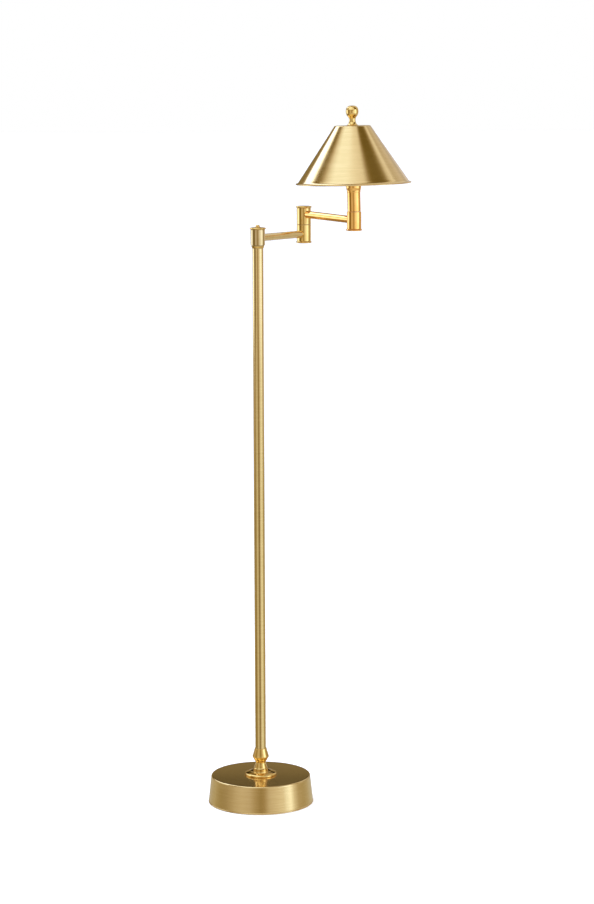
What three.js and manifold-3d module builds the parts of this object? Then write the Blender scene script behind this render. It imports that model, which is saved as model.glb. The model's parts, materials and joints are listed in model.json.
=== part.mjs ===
// Swing-arm floor lamp in brass: a weighted drum base, a turned neck, a straight pole, two
// horizontal arms on stacked swivel barrels, and a candle-tube head with a conical metal shade.
// Millimetres, +Z up. The origin is the centre of the base's underside, on the pole's axis.
// The lamp head stands off towards +X.

import * as THREE from "three";
import { mergeVertices } from "three/addons/utils/BufferGeometryUtils.js";
import Module from "manifold-3d";

const wasm = await Module();
wasm.setup();

// ---------------------------------------------------------------- driving dimensions

const gap = 0.3; // left between pieces that touch
const turns = { large: 40, medium: 24, small: 12 }; // facets round a turned piece

const base = { bottomRadius: 106.9, topRadius: 101.2, height: 56.5, wall: 1.5, rimZ: 0.8 };
const felt = { radius: 104.2, thickness: 2.5 };
const pole = { radius: 11, wall: 1.2, bottomZ: 97, topZ: 1131.2 };
const pipe = { radius: 4.8, bore: 3.2 }; // the threaded lamp pipe of the base and the head
const spindle = { radius: 5, bore: 3.4, bearing: 5.4 }; // the hollow swivel spindles
const capScrew = { radius: 2.4, headRadius: 4.1, ringRadius: 5.9 };
const barrel = { radius: 14.4, bore: 12.4, floor: 3, flangeRadius: 16.2, flangeHeight: 4 };
const arm = { radius: 7.4, wall: 1.2, length: 178, inset: 9.2 }; // the inset is from a barrel's axis
const firstArm = { angle: THREE.MathUtils.degToRad(58), fromZ: 1151.7, toZ: 1150.2 };
const secondArm = { angle: THREE.MathUtils.degToRad(-56.9), fromZ: 1190.5, toZ: 1186.1 };
const wireRadius = 2;

const poleBarrel = { bottomZ: 1137.5, topZ: 1168.3 };
const lowerBarrel = { bottomZ: 1135.8, topZ: 1169 };
const upperBarrel = { bottomZ: 1170, topZ: 1203 };
const headBarrel = { bottomZ: 1169.1, topZ: 1202.8 };

const headLean = THREE.MathUtils.degToRad(1.1); // the head leans a little towards the pole
const candle = { radius: 13.2, flareRadius: 15.3, wall: 1, bottomZ: 1203.4, topZ: 1254.5 };
const socket = { radius: 15.6, seatZ: 1256.6, seamZ: 1269, topZ: 1303, bodyRadius: 13.5, bodyTopZ: 1280.4 };
const bulb = { capRadius: 12.8, capBottomZ: 1281.8, capTopZ: 1305, radius: 23.8, topZ: 1358.8, wall: 0.8 };
const shade = { rimRadius: 114.9, topRadius: 36.8, rimZ: 1258.2, topZ: 1372.6, wall: 1.2 };
const harp = { wire: 1.6, footY: 20.6, widestY: 38, topZ: 1362 };
const finialTopZ = 1411.9;
const switchZ = 1274.5;

// ---------------------------------------------------------------- materials

const finish = (color, roughness, metalness) => new THREE.MeshStandardMaterial({ color, roughness, metalness });
const polishedBrass = finish(0xd9a441, 0.12, 1);
const brushedBrass = finish(0xc9a65a, 0.32, 1);
const plainBrass = finish(0xb8923f, 0.4, 1);
const steel = finish(0xa9abad, 0.4, 1);
const castIron = finish(0x3a3a3c, 0.75, 0.6);
const feltCloth = finish(0x2e3b2c, 0.95, 0);
const phenolic = finish(0x17130f, 0.5, 0);
const fibre = finish(0x6b4a2f, 0.85, 0);
const wireJacket = finish(0xb9a26b, 0.5, 0);
const frostedGlass = finish(0xf5f1e6, 0.25, 0);

// ---------------------------------------------------------------- helpers

const lamp = new THREE.Group();

function add(parent, name, geometry, material) {
  const mesh = new THREE.Mesh(geometry, material);
  mesh.name = name;
  parent.add(mesh);
  return mesh;
}

function place(parent, x, y, z, turn = 0) {
  const group = new THREE.Group();
  group.position.set(x, y, z);
  group.rotation.z = turn;
  parent.add(group);
  return group;
}

// A solid of revolution about Z from [radius, z] points, which run anticlockwise with the radius
// to the right. The profile starts and ends on the axis, or is a ring and closes on itself.
function turned(profile, facets = turns.medium) {
  const isRing = profile[0][0] > 0;
  const outline = isRing ? [...profile, profile[0]] : profile;
  const points = outline.map(([radius, z]) => new THREE.Vector2(radius, z));
  return new THREE.LatheGeometry(points, facets).rotateX(Math.PI / 2);
}

function tube(outer, inner, low, high, facets = turns.small) {
  return turned([[inner, low], [outer, low], [outer, high], [inner, high]], facets);
}

function rod(radius, low, high, facets = turns.small) {
  return turned([[0, low], [radius, low], [radius, high], [0, high]], facets);
}

// Points round an arc in a profile, from one angle to another, in degrees.
function arc(radius, z, width, height, from, to, steps) {
  return Array.from({ length: steps + 1 }, (_, i) => {
    const angle = THREE.MathUtils.degToRad(from + ((to - from) * i) / steps);
    return [radius + width * Math.cos(angle), z + height * Math.sin(angle)];
  });
}

function hexNut(acrossFlats, bore, low, high) {
  const outline = new THREE.Shape();
  const corner = acrossFlats / 2 / Math.cos(Math.PI / 6);
  for (let i = 0; i < 6; i++) {
    const angle = (i * Math.PI) / 3;
    outline[i ? "lineTo" : "moveTo"](corner * Math.cos(angle), corner * Math.sin(angle));
  }
  outline.closePath();
  outline.holes.push(new THREE.Path().absarc(0, 0, bore, 0, 2 * Math.PI, true));
  const settings = { depth: high - low, bevelEnabled: false, curveSegments: turns.small };
  return new THREE.ExtrudeGeometry(outline, settings).translate(0, 0, low);
}

function circle(radius, sides) {
  const angles = Array.from({ length: sides }, (_, i) => (2 * Math.PI * i) / sides);
  return new THREE.Shape(angles.map((a) => new THREE.Vector2(radius * Math.cos(a), radius * Math.sin(a))));
}

// A round wire along a smooth curve through the given [x, y, z] points. Each stretch between two
// points gets the same number of steps, so short bends stay round and long straights stay cheap.
function wire(radius, route, stepsPerStretch = 3, sides = 8) {
  const curve = new THREE.CatmullRomCurve3(route.map((p) => new THREE.Vector3(...p)), false, "centripetal");
  curve.getUtoTmapping = (along) => along;
  const steps = stepsPerStretch * (route.length - 1);
  return new THREE.ExtrudeGeometry(circle(radius, sides), { extrudePath: curve, steps });
}

function solidOf(geometry) {
  const plain = geometry.index ? geometry.toNonIndexed() : geometry.clone();
  plain.deleteAttribute("normal");
  plain.deleteAttribute("uv");
  const merged = mergeVertices(plain, 1e-4);
  const vertProperties = new Float32Array(merged.attributes.position.array);
  const triVerts = new Uint32Array(merged.index.array);
  return new wasm.Manifold(new wasm.Mesh({ numProp: 3, vertProperties, triVerts }));
}

function geometryOf(solid) {
  const { vertProperties, triVerts } = solid.getMesh();
  const geometry = new THREE.BufferGeometry();
  geometry.setAttribute("position", new THREE.BufferAttribute(new Float32Array(vertProperties), 3));
  geometry.setIndex(new THREE.BufferAttribute(new Uint32Array(triVerts), 1));
  return geometry.toNonIndexed();
}

function cut(geometry, ...tools) {
  return geometryOf(tools.reduce((left, tool) => left.subtract(solidOf(tool)), solidOf(geometry)));
}

// A rod along +X at a height, for cutting the side of a socket.
function sideRod(radius, start, end, z, facets = turns.small) {
  return rod(radius, start, end, facets).rotateY(Math.PI / 2).translate(0, 0, z);
}

function block(x, y, z, width, depth, height) {
  return new THREE.BoxGeometry(width, depth, height).translate(x, y, z);
}

// ---------------------------------------------------------------- base

// Radius of the drum's outside at a height: a straight taper from the rim to the shoulder.
function drumRadius(z) {
  return base.bottomRadius + ((base.topRadius - base.bottomRadius) * z) / base.height;
}

const wallTilt = Math.atan((base.bottomRadius - base.topRadius) / base.height);
const inletZ = 12;
const inletBore = 3.2;
const shoulder = 3; // radius of the drum's rounded top edge

function atInlet(geometry) {
  // Turns a piece modelled along +Z to point out of the back of the drum, square to its wall.
  return geometry.rotateX(-Math.PI / 2 + wallTilt).translate(0, drumRadius(inletZ), inletZ);
}

function buildBase(parent) {
  const topInside = base.height - base.wall;
  const inside = (z) => drumRadius(z) - base.wall;
  const outside = [
    [drumRadius(base.rimZ), base.rimZ],
    [drumRadius(base.rimZ) + 0.4, 1.6],
    [drumRadius(3.4) + 0.4, 3.4],
    [drumRadius(4.4), 4.4],
    ...arc(base.topRadius - shoulder + 0.3, base.height - shoulder, shoulder, shoulder, 6, 90, 3),
    [pipe.radius + 0.5, base.height],
  ];
  const within = [
    [pipe.radius + 0.5, topInside],
    [base.topRadius - shoulder, topInside],
    [inside(topInside - 2), topInside - 2],
    [inside(base.rimZ), base.rimZ],
  ];
  const shell = turned([...outside, ...within], turns.large);
  add(parent, "base_shell", cut(shell, atInlet(rod(5.4, -8, 4))), brushedBrass);

  const weightTopZ = 34;
  const weightGap = base.wall + 0.8;
  const bossRadius = 22;
  const pocket = { radius: 16, topZ: 24 };
  const bottomZ = felt.thickness + gap;
  const weight = turned(
    [
      [pocket.radius, bottomZ],
      [drumRadius(bottomZ) - weightGap, bottomZ],
      [drumRadius(weightTopZ) - weightGap, weightTopZ],
      [bossRadius + 4, weightTopZ],
      [bossRadius, topInside - gap],
      [pipe.radius + 0.6, topInside - gap],
      [pipe.radius + 0.6, pocket.topZ],
      [pocket.radius, pocket.topZ],
    ],
    turns.large,
  );
  const cordChannel = block(0, 62, 9.8, 13, 100, 17.4);
  add(parent, "base_weight", cut(weight, cordChannel), castIron);
  add(parent, "base_felt", rod(felt.radius, 0, felt.thickness, turns.large), feltCloth);

  const washer = tube(12, pipe.radius + 0.4, pocket.topZ - 2, pocket.topZ - gap);
  add(parent, "base_lock_washer", washer, steel);
  add(parent, "base_lock_nut", hexNut(15, pipe.radius + gap, pocket.topZ - 7.3, pocket.topZ - 2.3), steel);
  add(parent, "base_pipe", tube(pipe.radius, pipe.bore, pocket.topZ - 9, 118), steel);

  const flange = [[7.2, 0.4], [7.2, 1.6], [6.4, 2.4], [inletBore + 0.6, 2.4], [inletBore, 2]];
  const bushing = [[inletBore, -6], [5, -6], [5, 0.4], ...flange];
  add(parent, "cord_bushing", atInlet(turned(bushing, turns.medium)), phenolic);
}

// ---------------------------------------------------------------- neck and pole

function buildNeck(parent) {
  const domeZ = base.height + gap;
  const domeTopZ = domeZ + 12.8;
  const bore = pipe.radius + 0.4;
  const shoulder = arc(27.4, domeZ + 1.4, 5.1, 2.9, -10, 80, 5);
  const domeSweep = [[25, domeZ + 4.8], [21.6, domeZ + 5.9], [18.6, domeZ + 7.6], [16.6, domeZ + 9.8]];
  const dome = [[bore, domeZ], [31.2, domeZ], ...shoulder, ...domeSweep, [15.2, domeTopZ]];
  add(parent, "neck_dome", turned([...dome, [bore, domeTopZ]]), polishedBrass);

  const vaseZ = domeTopZ + gap;
  const vaseTopZ = 86;
  const vase = [
    [bore, vaseZ],
    [14.5, vaseZ],
    [13.4, vaseZ + 1.7],
    [12.1, vaseZ + 5.7],
    [11, vaseZ + 9.1],
    [10.5, vaseZ + 11.7],
    [10.9, vaseZ + 13.9],
    [12.3, vaseTopZ],
    [bore, vaseTopZ],
  ];
  add(parent, "neck_vase", turned(vase), polishedBrass);

  const collarZ = vaseTopZ + gap;
  const collarTopZ = 111.8;
  const collar = [
    [bore, collarZ],
    [12.4, collarZ],
    [14.4, 90.1],
    [16, 92.5],
    [16.9, 94.3],
    [16.8, 95.6],
    [16.3, 97.1],
    [15.9, 98.5],
    [12.4, 110.3],
    [11.7, collarTopZ],
    [pole.radius + gap, collarTopZ],
    [pole.radius + gap, pole.bottomZ - gap],
    [bore, pole.bottomZ - gap],
  ];
  add(parent, "pole_collar", turned(collar), polishedBrass);
}

function buildPole(parent) {
  const inside = pole.radius - pole.wall;
  add(parent, "pole_tube", tube(pole.radius, inside, pole.bottomZ, pole.topZ, turns.medium), brushedBrass);
  const plugRadius = inside - gap;
  const bottomPlug = tube(plugRadius, pipe.radius + gap, pole.bottomZ + 0.5, 116, turns.medium);
  add(parent, "pole_bottom_plug", bottomPlug, plainBrass);
  const topPlug = tube(plugRadius, spindle.radius + gap, 1112, pole.topZ, turns.medium);
  add(parent, "pole_top_plug", topPlug, plainBrass);

  const bore = spindle.radius + gap;
  const seatZ = pole.topZ + gap;
  const seatTopZ = 1136.2;
  const seat = [[bore, seatZ], [11.4, seatZ], [12, seatZ + 1], [12.7, seatTopZ - 1], [13, seatTopZ], [bore, seatTopZ]];
  add(parent, "pole_seat_ring", turned(seat), polishedBrass);
  add(parent, "pole_swivel_washer", tube(12.8, bore, seatTopZ + 0.2, poleBarrel.bottomZ - gap, turns.medium), plainBrass);

  const floorTopZ = poleBarrel.bottomZ + barrel.floor;
  add(parent, "pole_spindle", tube(spindle.radius, spindle.bore, 1111, floorTopZ + 6.6), steel);
  add(parent, "pole_spring_washer", tube(8.6, bore, floorTopZ + gap, floorTopZ + 1.2), steel);
  add(parent, "pole_lock_nut", hexNut(14, bore, floorTopZ + 1.5, floorTopZ + 6), steel);
}

// ---------------------------------------------------------------- swivel barrels and arms

// Lays a piece modelled along +Z down along an arm, whose near end is at fromZ over the origin. The
// far end's barrel is built the other way round, so from there the arm runs back and rises.
function alongArm(geometry, { fromZ, toZ }, isFarEnd = false) {
  const slope = Math.atan((toZ - fromZ) / arm.length);
  const tilt = isFarEnd ? -slope : slope;
  return geometry.rotateY(Math.PI / 2 - tilt).translate(0, 0, isFarEnd ? toZ : fromZ);
}

// A barrel about Z: a floor or ceiling that bears on the spindle, and a hole in the +X side for an arm.
function barrelBody({ bottomZ, topZ }, line, isFarEnd, wallAt, centreBore = spindle.bearing) {
  const { radius, bore, floor } = barrel;
  const profile =
    wallAt === "bottom"
      ? [[centreBore, bottomZ], [radius, bottomZ], [radius, topZ], [bore, topZ], [bore, bottomZ + floor],
         [centreBore, bottomZ + floor]]
      : [[bore, bottomZ], [radius, bottomZ], [radius, topZ], [centreBore, topZ], [centreBore, topZ - floor],
         [bore, topZ - floor]];
  return cut(turned(profile), alongArm(rod(arm.radius + gap, 0, 2 * barrel.radius, turns.medium), line, isFarEnd));
}

// The beaded cap that closes a barrel's open end. Its plug goes into the barrel, which lies below a
// top cap; a bottom cap is the same piece upside down.
function barrelCap(openZ, isTop, hole = 0) {
  const { flangeRadius, flangeHeight, radius, bore } = barrel;
  const direction = isTop ? 1 : -1;
  const faceZ = openZ + direction * gap;
  const bead = arc(flangeRadius - 1.9, faceZ + direction * 2, 1.9, 1.6 * direction, -60, 80, 4);
  const outline = [
    [hole, openZ - direction * 2.4],
    [bore - gap, openZ - direction * 2.4],
    [bore - gap, faceZ],
    [radius, faceZ],
    ...bead,
    [flangeRadius - 4.2, faceZ + direction * flangeHeight],
    [hole, faceZ + direction * flangeHeight],
  ];
  return turned(isTop ? outline : outline.reverse());
}

// An arm tube between two barrels whose axes are arm.length apart.
function armTube(line) {
  const { radius, wall, inset, length } = arm;
  return alongArm(tube(radius, radius - wall, inset, length - inset, turns.medium), line);
}

// The run of an arm's wire: up out of the near barrel, through the tube, and up in the far barrel.
function armWireRoute({ fromZ, toZ }, startDrop) {
  return [
    [0.4, 0, fromZ - startDrop],
    [1.5, 0, fromZ - startDrop / 4],
    [5, 0, fromZ + 0.9],
    [20, 0, fromZ + ((toZ - fromZ) * 20) / arm.length],
    [arm.length - 20, 0, toZ - ((toZ - fromZ) * 20) / arm.length],
    [arm.length - 5, 0, toZ + 0.6],
    [arm.length - 1, 0, toZ + 5],
    [arm.length, 0, toZ + 12],
  ];
}

// The little domed screw and its ring, on top of the pole's barrel.
function buildCapScrew(parent) {
  const { radius, headRadius, ringRadius } = capScrew;
  const ringZ = poleBarrel.topZ + gap + barrel.flangeHeight + gap;
  const ringTopZ = ringZ + 0.9;
  const bore = radius + gap;
  const edge = [[ringRadius - 0.4, ringZ], [ringRadius, ringZ + 0.4], [ringRadius - 0.4, ringTopZ]];
  add(parent, "pole_cap_ring", turned([[bore, ringZ], ...edge, [bore, ringTopZ]]), polishedBrass);
  const headZ = ringTopZ + gap;
  const screw = [
    [0, poleBarrel.topZ - 1],
    [radius, poleBarrel.topZ - 1],
    [radius, headZ],
    [headRadius, headZ],
    [headRadius, headZ + 1.4],
    [headRadius - 0.9, headZ + 2.7],
    [headRadius - 2.2, headZ + 3.3],
    [0, headZ + 3.6],
  ];
  add(parent, "pole_cap_screw", turned(screw), polishedBrass);
}

function buildFirstArm(parent) {
  add(parent, "pole_barrel", barrelBody(poleBarrel, firstArm, false, "bottom"), polishedBrass);
  add(parent, "pole_barrel_cap", barrelCap(poleBarrel.topZ, true, capScrew.radius + gap), polishedBrass);
  buildCapScrew(parent);
  add(parent, "arm_1_tube", armTube(firstArm), polishedBrass);

  const knuckle = place(parent, arm.length, 0, 0, Math.PI);
  const bore = spindle.radius + gap;
  const lowerBody = barrelBody(lowerBarrel, firstArm, true, "top", bore);
  add(knuckle, "knuckle_lower_barrel", lowerBody, polishedBrass);
  add(knuckle, "knuckle_bottom_cap", barrelCap(lowerBarrel.bottomZ, false), polishedBrass);
  add(knuckle, "knuckle_spindle_nut", hexNut(15, bore, 1160.6, 1165.6), steel);
  add(knuckle, "knuckle_swivel_washer", tube(13.8, bore, 1169.2, 1169.8, turns.medium), plainBrass);
  add(knuckle, "knuckle_spring_washer", tube(9.5, bore, 1173.3, 1174.3), steel);
  add(knuckle, "knuckle_lock_nut", hexNut(15, bore, 1174.6, 1179.6), steel);
  add(knuckle, "knuckle_spindle", tube(spindle.radius, spindle.bore, 1159.8, 1180.2), steel);

  const route = [...armWireRoute(firstArm, 3), [arm.length, 0, 1180]];
  add(parent, "arm_1_wire", wire(wireRadius, route), wireJacket);
}

function buildSecondArm(parent) {
  add(parent, "knuckle_upper_barrel", barrelBody(upperBarrel, secondArm, false, "bottom"), polishedBrass);
  add(parent, "knuckle_top_cap", barrelCap(upperBarrel.topZ, true), polishedBrass);
  add(parent, "arm_2_tube", armTube(secondArm), polishedBrass);
  const headTurn = place(parent, arm.length, 0, 0, Math.PI);
  const headBody = barrelBody(headBarrel, secondArm, true, "top", pipe.radius + 0.5);
  add(headTurn, "head_barrel", headBody, polishedBrass);
  add(headTurn, "head_bottom_cap", barrelCap(headBarrel.bottomZ, false), polishedBrass);

  // Above the head barrel the wire leans with the head, which is towards -X of the whole lamp.
  const leaning = (z) => {
    const shift = (z - headBarrel.topZ) * Math.tan(headLean);
    return [arm.length - shift * Math.cos(secondArm.angle), shift * Math.sin(secondArm.angle), z];
  };
  const route = [...armWireRoute(secondArm, 5.6), leaning(1215), leaning(1250)];
  add(parent, "arm_2_wire", wire(wireRadius, route), wireJacket);
}

// ---------------------------------------------------------------- lamp head

function buildCandle(parent) {
  const bore = pipe.radius + gap;
  const { radius, flareRadius, wall, bottomZ, topZ } = candle;
  const tubeProfile = [
    [bore, bottomZ],
    [radius, bottomZ],
    [radius, topZ - 16],
    [radius + 0.3, topZ - 12.5],
    [radius + 0.8, topZ - 8.8],
    [radius + 1.7, topZ - 4.8],
    [flareRadius, topZ - 0.6],
    [flareRadius - 0.4, topZ],
    [bore, topZ],
    [bore, topZ - 2],
    [radius - wall, topZ - 2],
    [radius - wall, bottomZ + 2],
    [bore, bottomZ + 2],
  ];
  add(parent, "candle_tube", turned(tubeProfile), polishedBrass);
  const nutTopZ = headBarrel.topZ - barrel.floor - 0.6;
  const nutHeight = 4.8;
  add(parent, "head_pipe", tube(pipe.radius, pipe.bore, nutTopZ - nutHeight - 1.8, socket.seatZ + 3.2), steel);
  add(parent, "head_lock_nut", hexNut(15, bore, nutTopZ - nutHeight, nutTopZ), steel);
}

function buildSocket(parent) {
  const bore = pipe.radius + gap;
  const { radius, seatZ, seamZ, topZ, bodyRadius, bodyTopZ } = socket;
  const cap = [
    [bore, seatZ],
    [12.4, seatZ],
    [14.4, seatZ + 1.4],
    [15.2, seatZ + 3.6],
    [radius, seatZ + 6],
    [radius, seamZ - gap],
    [radius - 0.8, seamZ - gap],
    [radius - 0.8, seatZ + 5],
    [12, seatZ + 1.4],
    [bore, seatZ + 1.4],
  ];
  add(parent, "socket_cap", turned(cap), plainBrass);

  const stemHole = () => sideRod(2.9, -2 * radius, -radius / 2, switchZ);
  const shell = [
    [radius - 0.6, seamZ],
    [radius + 0.5, seamZ],
    [radius + 0.5, seamZ + 1.6],
    [radius, seamZ + 2.2],
    [radius, topZ - 1.4],
    [radius + 0.4, topZ - 0.7],
    [radius, topZ],
    [radius - 0.6, topZ],
  ];
  add(parent, "socket_shell", cut(turned(shell), stemHole()), plainBrass);
  const liner = tube(radius - 1, radius - 1.6, seamZ + 0.5, topZ - 0.5, turns.medium);
  add(parent, "socket_liner", cut(liner, stemHole()), fibre);
  const body = rod(bodyRadius, seatZ + 4.2, bodyTopZ, turns.medium);
  add(parent, "socket_body", cut(body, sideRod(2.9, -2 * radius, -4.5, switchZ)), phenolic);
  const screwShell = tube(bodyRadius, bodyRadius - 0.4, bodyTopZ + gap, topZ - 2, turns.medium);
  add(parent, "socket_screw_shell", screwShell, plainBrass);

  const stem = rod(2.4, 0, 17.6, turns.small).rotateY(-Math.PI / 2).translate(-6, 0, switchZ);
  add(parent, "switch_stem", stem, plainBrass);
  const paddle = new THREE.Shape().absellipse(0, 0, 3.4, 6.4, 0, 2 * Math.PI);
  const knob = new THREE.ExtrudeGeometry(paddle, { depth: 9, bevelEnabled: false, curveSegments: turns.small });
  add(parent, "switch_knob", knob.rotateY(-Math.PI / 2).translate(-23.9, 0, switchZ), phenolic);
}

function buildBulb(parent) {
  const { capRadius, capBottomZ, capTopZ, radius, topZ, wall } = bulb;
  const cap = [
    [0, capBottomZ],
    [4.5, capBottomZ],
    [8.5, capBottomZ + 3],
    [capRadius, capBottomZ + 5],
    [capRadius, capTopZ],
    [0, capTopZ],
  ];
  add(parent, "bulb_cap", turned(cap, turns.small), steel);
  const outer = [
    [12.4, capTopZ + gap],
    [12.8, capTopZ + 4],
    [15.6, capTopZ + 11],
    [20.6, capTopZ + 19.6],
    [23.5, capTopZ + 27.6],
    [radius - 0.3, capTopZ + 34],
    [20.6, capTopZ + 43],
    [14.2, capTopZ + 50],
    [6, capTopZ + 53.3],
    [0, topZ],
  ];
  const inner = outer.slice(1).map(([r, z]) => [Math.max(0, r - wall), z - wall]).reverse();
  const mouth = [outer[0][0] - wall, outer[0][1]];
  add(parent, "bulb_glass", turned([...inner, mouth, ...outer], 20), frostedGlass);
}

function buildHarp(parent) {
  const saddleZ = candle.topZ + gap;
  const thickness = 1.5;
  const flatHalf = 14.5;
  const wingTopZ = 1262;
  const half = harp.footY + thickness / 2;
  const rightSide = [
    [flatHalf, saddleZ],
    [half, saddleZ + 5],
    [half, wingTopZ],
    [half - thickness, wingTopZ],
    [half - thickness, saddleZ + 5.6],
    [flatHalf - 0.6, saddleZ + thickness],
  ];
  const leftSide = rightSide.map(([y, z]) => [-y, z]).reverse();
  const strip = new THREE.Shape([...rightSide, ...leftSide].map(([y, z]) => new THREE.Vector2(y, z)));
  const width = 9;
  const wings = new THREE.ExtrudeGeometry(strip, { depth: width, bevelEnabled: false });
  wings.rotateX(Math.PI / 2).rotateZ(Math.PI / 2).translate(-width / 2, 0, 0);
  const disc = solidOf(rod(12.4, saddleZ, saddleZ + thickness, turns.medium));
  const hole = solidOf(rod(pipe.radius + gap, saddleZ - 1, saddleZ + 3, turns.medium));
  add(parent, "harp_saddle", geometryOf(solidOf(wings).add(disc).subtract(hole)), steel);

  const footZ = wingTopZ + 0.5;
  const halfRoute = [
    [0, harp.footY, footZ],
    [0, harp.footY, footZ + 9],
    [0, 27, footZ + 22],
    [0, 35, footZ + 38],
    [0, harp.widestY, footZ + 56],
    [0, 34, footZ + 76],
    [0, 24, footZ + 90],
    [0, 12, footZ + 97],
  ];
  const mirrored = halfRoute.map(([x, y, z]) => [x, -y, z]).reverse();
  add(parent, "harp_wire", wire(harp.wire, [...halfRoute, [0, 0, harp.topZ], ...mirrored], 2), plainBrass);
  [1, -1].forEach((side, i) => {
    const ferrule = tube(3.2, harp.wire + 0.5, footZ + 0.2, footZ + 6).translate(0, side * harp.footY, 0);
    add(parent, "harp_ferrule_" + (i + 1), ferrule, plainBrass);
  });

  const plateZ = harp.topZ + harp.wire + gap;
  const shadeSeatZ = shade.topZ - shade.wall - gap;
  const stud = [
    [0, plateZ],
    [4.6, plateZ],
    [9, shadeSeatZ - 2.2],
    [9, shadeSeatZ],
    [3.1, shadeSeatZ],
    [3.1, 1387],
    [0, 1387],
  ];
  add(parent, "harp_stud", turned(stud, turns.small), plainBrass);
}

function buildShade(parent) {
  const { rimRadius, topRadius, rimZ, topZ, wall } = shade;
  const flareZ = rimZ + 6.8;
  const flareRadius = rimRadius - 7;
  const outer = [
    [rimRadius - 0.8, rimZ],
    [rimRadius, rimZ + 0.9],
    [rimRadius - 1.2, rimZ + 2],
    [rimRadius - 4.4, rimZ + 3.5],
    [flareRadius, flareZ],
    [topRadius + 1.4, topZ - 3.4],
    [topRadius - 0.4, topZ - 1.2],
    [topRadius - 3, topZ],
    [3.6, topZ],
  ];
  const inner = [
    [3.6, topZ - wall],
    [topRadius - 3.2, topZ - wall],
    [topRadius - 0.2, topZ - 3.8],
    [flareRadius - 1.5, flareZ],
    [rimRadius - 3.6, rimZ + 1.3],
  ];
  add(parent, "shade", turned([...outer, ...inner], turns.large), brushedBrass);
}

function buildFinial(parent) {
  const z = shade.topZ + gap;
  const outside = [
    [11, z],
    [11.3, z + 1],
    [9, z + 2.8],
    [7.2, z + 5.4],
    [6.3, z + 9],
    [6.3, z + 13],
    [7.4, z + 16.2],
    [10.4, z + 19.8],
    [12.2, z + 24.2],
    [12.5, z + 28.6],
    [11.7, z + 33],
    [9.2, z + 37.2],
    [5.4, z + 38.7],
    [0, finialTopZ],
  ];
  const bore = [[0, 1389], [3.5, 1388], [3.5, z]];
  add(parent, "finial", turned([...bore, ...outside], turns.medium), polishedBrass);
}

function buildStandWire(parent) {
  const route = [
    [0, 98, inletZ],
    [0, 60, 9.4],
    [0, 13, 6],
    [0, 4.6, 7.2],
    [0, 0.8, 11],
    [0, 0, 16],
    [0, 0, 600],
    [0, 0, 1145.6],
  ];
  add(parent, "stand_wire", wire(wireRadius, route), wireJacket);
}

// ---------------------------------------------------------------- assembly

buildBase(lamp);
buildNeck(lamp);
buildPole(lamp);
buildStandWire(lamp);
buildFirstArm(place(lamp, 0, 0, 0, firstArm.angle));
const alongAngle = ({ angle }) => new THREE.Vector2(arm.length * Math.cos(angle), arm.length * Math.sin(angle));
const knuckleAt = alongAngle(firstArm);
buildSecondArm(place(lamp, knuckleAt.x, knuckleAt.y, 0, secondArm.angle));
const headAt = knuckleAt.clone().add(alongAngle(secondArm));
const leaningHead = place(lamp, headAt.x, headAt.y, headBarrel.topZ);
leaningHead.rotation.y = -headLean;
const head = place(leaningHead, 0, 0, -headBarrel.topZ);
[buildCandle, buildSocket, buildBulb, buildHarp, buildShade, buildFinial].forEach((build) => build(head));

export default lamp;
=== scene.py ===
# A swing-arm floor lamp in brushed and polished brass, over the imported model.
# Lengths are metres. A turned piece's profile is in millimetres: (radius, height above the lowest
# point of the CAD node that the piece stands for).
import json
import math
import bmesh
import bpy
from mathutils import Matrix, Vector


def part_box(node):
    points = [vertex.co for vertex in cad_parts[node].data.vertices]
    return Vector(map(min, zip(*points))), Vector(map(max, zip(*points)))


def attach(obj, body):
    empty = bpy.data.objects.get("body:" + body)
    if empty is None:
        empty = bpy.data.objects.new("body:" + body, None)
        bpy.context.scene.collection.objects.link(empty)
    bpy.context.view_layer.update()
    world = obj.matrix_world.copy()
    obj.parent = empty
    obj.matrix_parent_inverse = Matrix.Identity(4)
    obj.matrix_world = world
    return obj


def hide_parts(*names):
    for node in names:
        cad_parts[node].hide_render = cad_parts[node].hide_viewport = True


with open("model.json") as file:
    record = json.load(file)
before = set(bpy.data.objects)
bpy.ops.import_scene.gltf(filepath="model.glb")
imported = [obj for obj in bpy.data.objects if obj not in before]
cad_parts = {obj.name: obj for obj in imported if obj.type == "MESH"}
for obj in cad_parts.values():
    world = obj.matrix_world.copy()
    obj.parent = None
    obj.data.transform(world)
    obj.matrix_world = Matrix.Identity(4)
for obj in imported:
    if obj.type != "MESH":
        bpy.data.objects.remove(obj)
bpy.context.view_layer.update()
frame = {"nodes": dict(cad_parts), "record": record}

MM = 0.001
SLOT = {part["node"]: part["material_slot"] for part in frame["record"]["subparts"]}
BODIES = frame["record"]["behaviour"]["bodies"]
BODY = {node: body for body, nodes in BODIES.items() for node in nodes}
SHARP_ANGLE = math.radians(32)  # an edge that bends more than this is shown sharp

# The head leans a little towards the pole, from the top of the head barrel upwards.
HEAD_LEAN = math.radians(1.1)
BARREL_LOW, BARREL_HIGH = (Vector(corner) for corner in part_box("head_barrel"))
HEAD_FOOT = Vector(((BARREL_LOW.x + BARREL_HIGH.x) / 2, (BARREL_LOW.y + BARREL_HIGH.y) / 2, BARREL_HIGH.z))
HEAD = Matrix.Translation(HEAD_FOOT) @ Matrix.Rotation(-HEAD_LEAN, 4, "Y")
HEAD_FAMILIES = ("candle", "head_pipe", "head_lock", "socket", "switch", "bulb", "harp", "shade", "finial")

# ------------------------------------------------------------------ node helpers


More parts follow.
